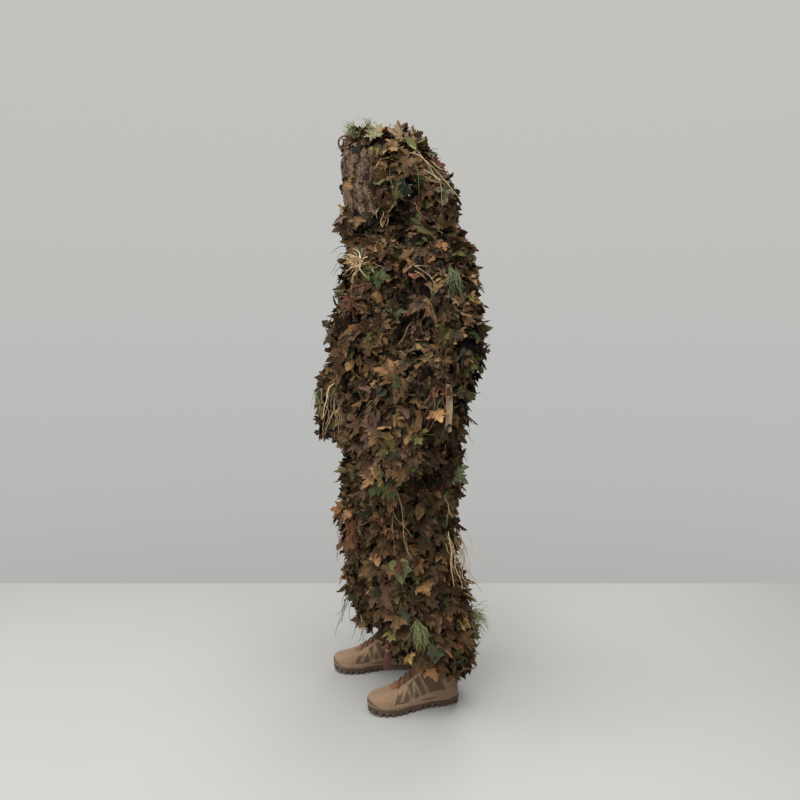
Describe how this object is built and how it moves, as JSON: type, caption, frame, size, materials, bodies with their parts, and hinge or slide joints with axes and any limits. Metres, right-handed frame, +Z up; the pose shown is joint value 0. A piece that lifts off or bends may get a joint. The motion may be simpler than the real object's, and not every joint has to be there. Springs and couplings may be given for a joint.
{
  "type": "ghillie suit",
  "caption": "Hooded camouflage suit in its worn, standing shape: jacket, trousers, face veil and boots, covered in leaves, raffia, moss and bark.",
  "frame": {"origin": "on the ground, under the middle of the suit's box", "axes": "+Z up, -Y toward the wearer's front, +X toward the wearer's left"},
  "size_m": [0.8244, 0.466, 1.86],
  "materials": {
    "olive_cloth": "matte, rough",
    "leaf_cover": "matte, rough",
    "bark": "matte, rough",
    "raffia": "matte, rough",
    "vine": "dull",
    "moss": "matte, rough",
    "elastic": "matte, rough",
    "tape": "matte, rough",
    "brass": "aged",
    "wood_strip": "dull",
    "suede": "nubuck",
    "dark_suede": "nubuck",
    "rubber": "moulded",
    "lace": "matte, rough",
    "foam": "moulded",
    "vine_jute": "matte, rough"
  },
  "bodies": {
    "torso": {"jacket_back": "olive_cloth", "jacket_front_left": "olive_cloth", "jacket_front_right": "olive_cloth", "leaf_cover_back": "leaf_cover", "leaf_cover_front_left": "leaf_cover", "leaf_cover_front_right": "leaf_cover", "zipper_tape_left": "tape", "zipper_tape_right": "tape", "zipper_retainer": "brass", "trousers_seat": "olive_cloth", "waist_elastic": "elastic", "raffia_bow": "raffia"},
    "slider": {"zipper_slider": "brass"},
    "pull": {"zipper_pull": "brass"},
    "hood": {"hood_shell": "olive_cloth", "hood_leaf_cover": "leaf_cover", "moss_tuft": "moss", "vine_loop": "vine"},
    "veil": {"face_veil": "bark"},
    "left_upper_arm": {"upper_sleeve_left": "olive_cloth", "upper_sleeve_leaf_cover_left": "leaf_cover"},
    "left_forearm": {"lower_sleeve_left": "olive_cloth", "lower_sleeve_leaf_cover_left": "leaf_cover", "cuff_elastic_left": "elastic", "bark_strip": "wood_strip"},
    "left_thigh": {"thigh_left": "olive_cloth", "thigh_leaf_cover_left": "leaf_cover"},
    "left_shin": {"shin_left": "olive_cloth", "shin_leaf_cover_left": "leaf_cover", "ankle_elastic_left": "elastic", "jute_tassel": "vine_jute"},
    "left_foot": {"outsole_left": "rubber", "midsole_left": "foam", "insole_left": "foam", "upper_left": "suede", "tongue_left": "dark_suede", "lace_left": "lace", "toe_cap_left": "dark_suede", "heel_counter_left": "dark_suede"},
    "right_upper_arm": {"upper_sleeve_right": "olive_cloth", "upper_sleeve_leaf_cover_right": "leaf_cover"},
    "right_forearm": {"lower_sleeve_right": "olive_cloth", "lower_sleeve_leaf_cover_right": "leaf_cover", "cuff_elastic_right": "elastic"},
    "right_thigh": {"thigh_right": "olive_cloth", "thigh_leaf_cover_right": "leaf_cover"},
    "right_shin": {"shin_right": "olive_cloth", "shin_leaf_cover_right": "leaf_cover", "ankle_elastic_right": "elastic"},
    "right_foot": {"outsole_right": "rubber", "midsole_right": "foam", "insole_right": "foam", "upper_right": "suede", "tongue_right": "dark_suede", "lace_right": "lace", "toe_cap_right": "dark_suede", "heel_counter_right": "dark_suede"}
  },
  "joints": [
    {"name": "hood_fold", "type": "hinge", "parent": "torso", "child": "hood", "pos_m": [0, 0.14689, 1.484], "axis": [-1, 0, 0], "range_deg": [0, 75]},
    {"name": "veil_lift", "type": "hinge", "parent": "hood", "child": "veil", "pos_m": [0, -0.19911, 1.772], "axis": [-1, 0, 0], "range_deg": [0, 100]},
    {"name": "zip_run", "type": "slide", "parent": "torso", "child": "slider", "axis": [0, 0, -1], "range_m": [0, 0.375]},
    {"name": "zip_pull_swing", "type": "hinge", "parent": "slider", "child": "pull", "pos_m": [0, -0.15921, 1.412], "axis": [-1, 0, 0], "range_deg": [0, 120]},
    {"name": "left_shoulder", "type": "hinge", "parent": "torso", "child": "left_upper_arm", "pos_m": [0.22, 0.06689, 1.41], "axis": [-1, 0, 0], "range_deg": [-25, 60]},
    {"name": "left_elbow", "type": "hinge", "parent": "left_upper_arm", "child": "left_forearm", "pos_m": [0.285, 0.08689, 1.14], "axis": [-0.9723, 0.0316, -0.2317], "range_deg": [-40, 55]},
    {"name": "left_hip", "type": "hinge", "parent": "torso", "child": "left_thigh", "pos_m": [0.1, 0.00689, 0.925], "axis": [-0.9977, -0.0542, -0.0416], "range_deg": [-12, 40]},
    {"name": "left_knee", "type": "hinge", "parent": "left_thigh", "child": "left_shin", "pos_m": [0.118, 0.00189, 0.5], "axis": [0.9977, 0.0542, 0.0416], "range_deg": [-8, 60]},
    {"name": "left_ankle", "type": "hinge", "parent": "left_shin", "child": "left_foot", "pos_m": [0.13, 0.09189, 0.095], "axis": [-1, 0, 0], "range_deg": [-15, 15]},
    {"name": "right_shoulder", "type": "hinge", "parent": "torso", "child": "right_upper_arm", "pos_m": [-0.22, 0.06689, 1.41], "axis": [-1, 0, 0], "range_deg": [-25, 60]},
    {"name": "right_elbow", "type": "hinge", "parent": "right_upper_arm", "child": "right_forearm", "pos_m": [-0.285, 0.04689, 1.135], "axis": [-0.9733, 0.0073, 0.2295], "range_deg": [-40, 55]},
    {"name": "right_hip", "type": "hinge", "parent": "torso", "child": "right_thigh", "pos_m": [-0.1, 0.00689, 0.925], "axis": [-0.998, 0.051, 0.0373], "range_deg": [-12, 40]},
    {"name": "right_knee", "type": "hinge", "parent": "right_thigh", "child": "right_shin", "pos_m": [-0.118, -0.03811, 0.505], "axis": [0.998, -0.051, -0.0373], "range_deg": [-8, 60]},
    {"name": "right_ankle", "type": "hinge", "parent": "right_shin", "child": "right_foot", "pos_m": [-0.13, 0.02689, 0.095], "axis": [-1, 0, 0], "range_deg": [-15, 15]}
  ]
}
